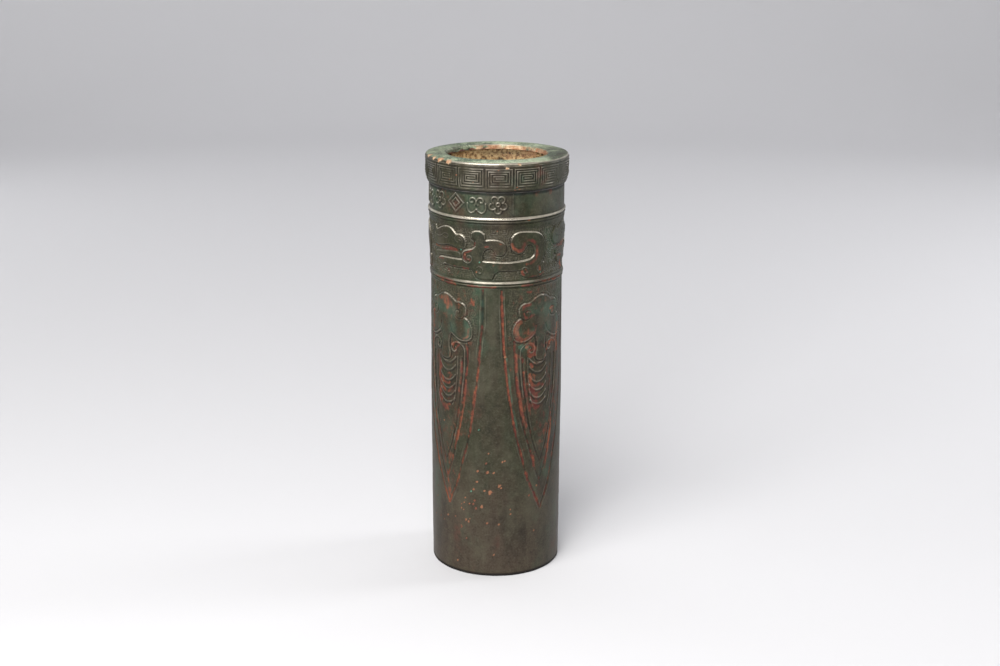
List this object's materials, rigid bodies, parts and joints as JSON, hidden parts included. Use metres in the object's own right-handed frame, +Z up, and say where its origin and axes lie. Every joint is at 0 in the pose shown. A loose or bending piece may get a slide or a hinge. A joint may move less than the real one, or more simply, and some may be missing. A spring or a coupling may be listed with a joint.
{
  "type": "bronze sleeve vase",
  "caption": "Tall cylindrical cast bronze vase with a thick key-fret mouth collar, dragon frieze between beaded fillets and pointed blade panels.",
  "frame": {"origin": "centre of the circle that the foot stands on", "axes": "+Z up along the vase's turning axis; -Y is the front that the picture shows"},
  "size_m": [0.0664, 0.0664, 0.201],
  "materials": {
    "patinated_bronze_wall": "dark olive patina with red in the recesses",
    "patinated_bronze_collar": "dark green patina, lighter on the lip",
    "patinated_bronze_base": "brown patina, rough from the mould",
    "collar_seam_solder": "dark tarnished solder",
    "base_seam_solder": "dull grey-brown solder"
  },
  "bodies": {
    "root": {"cast_wall": "patinated_bronze_wall", "mouth_collar": "patinated_bronze_collar", "base_plate": "patinated_bronze_base", "collar_solder": "collar_seam_solder", "base_solder": "base_seam_solder"}
  },
  "joints": []
}
